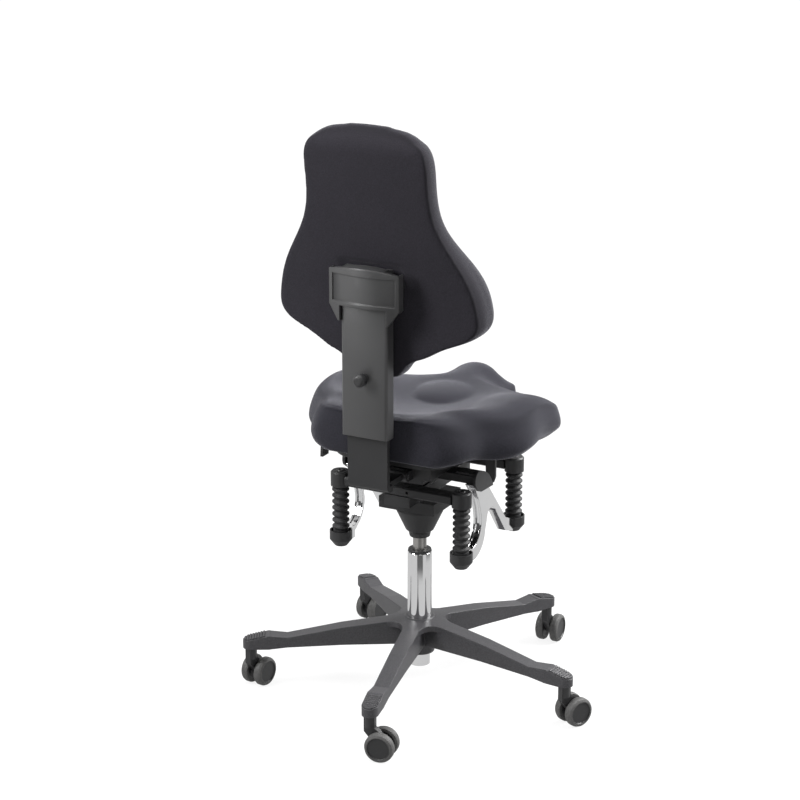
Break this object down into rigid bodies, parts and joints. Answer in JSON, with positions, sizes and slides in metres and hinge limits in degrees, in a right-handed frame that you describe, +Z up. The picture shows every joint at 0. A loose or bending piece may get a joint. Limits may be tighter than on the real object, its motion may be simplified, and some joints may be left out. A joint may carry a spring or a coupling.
{
  "type": "saddle chair",
  "caption": "Saddle office chair with a waisted high back, gas-lift column, star base on twin-wheel casters and a level seat swinging on ball-ended links in rubber bellows.",
  "frame": {"origin": "on the floor, on the axis of the column", "axes": "+Z up along the column, -Y the way the sitter faces, +X to the sitter's left"},
  "size_m": [0.7169, 0.7359, 1.212],
  "materials": {
    "base_black": "fine-textured black",
    "polished_chrome": "polished",
    "black_plastic": "satin black",
    "black_metal": "black powder coat",
    "bright_steel": "turned steel",
    "cylinder_black": "satin steel",
    "bronze": "sintered bronze",
    "bellows_rubber": "matt black rubber",
    "caster_plastic": "satin black",
    "wheel_tread": "black disc with a soft grey tread",
    "board": "plywood",
    "seat_fabric": "anthracite knit",
    "back_fabric": "anthracite knit"
  },
  "bodies": {
    "base": {"star_base": "base_black", "foot_pads": "base_black", "column_tube": "polished_chrome", "column_guide": "black_plastic", "foot_bearing": "bright_steel"},
    "piston": {"piston_rod": "bright_steel"},
    "carrier": {"gas_cylinder": "cylinder_black", "carrier_hub": "black_metal", "rear_beam": "black_metal", "front_beam": "black_metal", "upper_caps": "black_plastic", "cap_plugs": "black_plastic", "beam_bolts": "black_metal"},
    "release": {"release_pin": "bright_steel"},
    "rear_pivot": {"rear_upper_liners": "bronze"},
    "front_pivot": {"front_upper_liners": "bronze"},
    "rear_left_foot": {"rear_left_lower_liner": "bronze"},
    "seat": {"lower_caps": "black_plastic", "lower_liners": "bronze", "left_bracket": "polished_chrome", "right_bracket": "polished_chrome", "bracket_covers": "black_plastic", "seat_carrier": "black_metal", "recline_pin": "bright_steel", "seat_pan": "black_plastic", "seat_cushion": "seat_fabric"},
    "left_grip": {"left_lever": "black_plastic"},
    "right_grip": {"right_lever": "black_plastic"},
    "back": {"back_bar": "black_metal"},
    "back_slide": {"back_sleeve": "black_plastic", "head_block": "black_plastic", "head_cover": "black_plastic", "tilt_pin": "bright_steel"},
    "knob": {"clamp_knob": "black_plastic"},
    "backrest": {"backrest_bracket": "black_metal", "backrest_core": "board", "backrest_cushion": "back_fabric"},
    "rear_left_link": {"rear_left_rod": "bright_steel", "rear_left_bellows": "bellows_rubber"},
    "rear_right_link": {"rear_right_rod": "bright_steel", "rear_right_bellows": "bellows_rubber"},
    "front_left_link": {"front_left_rod": "bright_steel", "front_left_bellows": "bellows_rubber"},
    "front_right_link": {"front_right_rod": "bright_steel", "front_right_bellows": "bellows_rubber"},
    "left_caster": {"left_caster_fork": "caster_plastic", "left_caster_pins": "bright_steel"},
    "left_wheels": {"left_caster_wheels": "wheel_tread"},
    "rear_caster": {"rear_caster_fork": "caster_plastic", "rear_caster_pins": "bright_steel"},
    "rear_wheels": {"rear_caster_wheels": "wheel_tread"},
    "right_caster": {"right_caster_fork": "caster_plastic", "right_caster_pins": "bright_steel"},
    "right_wheels": {"right_caster_wheels": "wheel_tread"},
    "front_right_caster": {"front_right_caster_fork": "caster_plastic", "front_right_caster_pins": "bright_steel"},
    "front_right_wheels": {"front_right_caster_wheels": "wheel_tread"},
    "front_left_caster": {"front_left_caster_fork": "caster_plastic", "front_left_caster_pins": "bright_steel"},
    "front_left_wheels": {"front_left_caster_wheels": "wheel_tread"}
  },
  "joints": [
    {"name": "seat_swivel", "type": "hinge", "parent": "base", "child": "piston", "pos_m": [0, 0, 0.07], "axis": [0, 0, 1], "continuous": true},
    {"name": "seat_height", "type": "slide", "parent": "piston", "child": "carrier", "axis": [0, 0, 1], "range_m": [-0.028, 0.12]},
    {"name": "valve_pin", "type": "slide", "parent": "carrier", "child": "release", "axis": [0, 0, 1], "range_m": [-0.003, 0]},
    {"name": "swing_fore_aft", "type": "hinge", "parent": "carrier", "child": "rear_pivot", "pos_m": [0, 0.0845, 0.458], "axis": [1, 0, 0], "range_deg": [-5, 5], "stiffness_Nm_per_rad": 60},
    {"name": "front_fore_aft", "type": "hinge", "parent": "carrier", "child": "front_pivot", "pos_m": [0, -0.1565, 0.458], "axis": [1, 0, 0], "range_deg": [-5, 5]},
    {"name": "swing_sideways", "type": "hinge", "parent": "rear_pivot", "child": "rear_left_link", "pos_m": [0.136, 0.0845, 0.458], "axis": [0, 1, 0], "range_deg": [-5, 5], "stiffness_Nm_per_rad": 60},
    {"name": "rear_right_sideways", "type": "hinge", "parent": "rear_pivot", "child": "rear_right_link", "pos_m": [-0.136, 0.0845, 0.458], "axis": [0, 1, 0], "range_deg": [-5, 5]},
    {"name": "front_left_sideways", "type": "hinge", "parent": "front_pivot", "child": "front_left_link", "pos_m": [0.136, -0.1565, 0.458], "axis": [0, 1, 0], "range_deg": [-5, 5]},
    {"name": "front_right_sideways", "type": "hinge", "parent": "front_pivot", "child": "front_right_link", "pos_m": [-0.136, -0.1565, 0.458], "axis": [0, 1, 0], "range_deg": [-5, 5]},
    {"name": "foot_sideways", "type": "hinge", "parent": "rear_left_link", "child": "rear_left_foot", "pos_m": [0.136, 0.0845, 0.334], "axis": [0, 1, 0], "range_deg": [-5, 5]},
    {"name": "foot_fore_aft", "type": "hinge", "parent": "rear_left_foot", "child": "seat", "pos_m": [0.136, 0.0845, 0.334], "axis": [1, 0, 0], "range_deg": [-5, 5]},
    {"name": "left_lever_lift", "type": "hinge", "parent": "seat", "child": "left_grip", "pos_m": [0, 0.058, 0.51], "axis": [1, 0, 0], "range_deg": [0, 15], "stiffness_Nm_per_rad": 1, "springref_deg": -11.46},
    {"name": "right_lever_pull", "type": "hinge", "parent": "seat", "child": "right_grip", "pos_m": [0, -0.058, 0.51], "axis": [1, 0, 0], "range_deg": [-15, 0], "stiffness_Nm_per_rad": 1, "springref_deg": 11.46},
    {"name": "back_recline", "type": "hinge", "parent": "seat", "child": "back", "pos_m": [0, 0.128, 0.504], "axis": [1, 0, 0], "range_deg": [-10, 0]},
    {"name": "back_height", "type": "slide", "parent": "back", "child": "back_slide", "axis": [0, 0, 1], "range_m": [-0.04, 0.05]},
    {"name": "knob_turn", "type": "hinge", "parent": "back_slide", "child": "knob", "pos_m": [0, 0.232, 0.729], "axis": [0, 1, 0], "range_deg": [0, 270]},
    {"name": "backrest_tilt", "type": "hinge", "parent": "back_slide", "child": "backrest", "pos_m": [0, 0.215, 0.903], "axis": [1, 0, 0], "range_deg": [-3.5, 3.5]},
    {"name": "left_caster_swivel", "type": "hinge", "parent": "base", "child": "left_caster", "pos_m": [0.30201, 0.17087, 0.08], "axis": [0, 0, 1], "continuous": true},
    {"name": "left_wheel_roll", "type": "hinge", "parent": "left_caster", "child": "left_wheels", "pos_m": [0.29909, 0.14705, 0.03], "axis": [0.9925, -0.1219, 0], "continuous": true},
    {"name": "rear_caster_swivel", "type": "hinge", "parent": "base", "child": "rear_caster", "pos_m": [-0.06918, 0.34003, 0.08], "axis": [0, 0, 1], "continuous": true},
    {"name": "rear_wheel_roll", "type": "hinge", "parent": "rear_caster", "child": "rear_wheels", "pos_m": [-0.09282, 0.33587, 0.03], "axis": [0.1736, -0.9848, 0], "continuous": true},
    {"name": "right_caster_swivel", "type": "hinge", "parent": "base", "child": "right_caster", "pos_m": [-0.34477, 0.03928, 0.08], "axis": [0, 0, 1], "continuous": true},
    {"name": "right_wheel_roll", "type": "hinge", "parent": "right_caster", "child": "right_wheels", "pos_m": [-0.35567, 0.0179, 0.03], "axis": [0.891, -0.454, 0], "continuous": true},
    {"name": "front_right_caster_swivel", "type": "hinge", "parent": "base", "child": "front_right_caster", "pos_m": [-0.1439, -0.31576, 0.08], "axis": [0, 0, 1], "continuous": true},
    {"name": "front_right_wheel_roll", "type": "hinge", "parent": "front_right_caster", "child": "front_right_wheels", "pos_m": [-0.14264, -0.33972, 0.03], "axis": [0.9986, 0.0523, 0], "continuous": true},
    {"name": "front_left_caster_swivel", "type": "hinge", "parent": "base", "child": "front_left_caster", "pos_m": [0.25583, -0.23443, 0.08], "axis": [0, 0, 1], "continuous": true},
    {"name": "front_left_wheel_roll", "type": "hinge", "parent": "front_left_caster", "child": "front_left_wheels", "pos_m": [0.25084, -0.2579, 0.03], "axis": [0.9781, -0.2079, 0], "continuous": true}
  ],
  "couplings": [
    {"joint": "front_fore_aft", "follows": "swing_fore_aft", "ratio": 1},
    {"joint": "rear_right_sideways", "follows": "swing_sideways", "ratio": 1},
    {"joint": "front_left_sideways", "follows": "swing_sideways", "ratio": 1},
    {"joint": "front_right_sideways", "follows": "swing_sideways", "ratio": 1},
    {"joint": "foot_sideways", "follows": "swing_sideways", "ratio": -1},
    {"joint": "foot_fore_aft", "follows": "swing_fore_aft", "ratio": -1},
    {"joint": "valve_pin", "follows": "right_lever_pull", "m_per_rad": 0.011448}
  ]
}
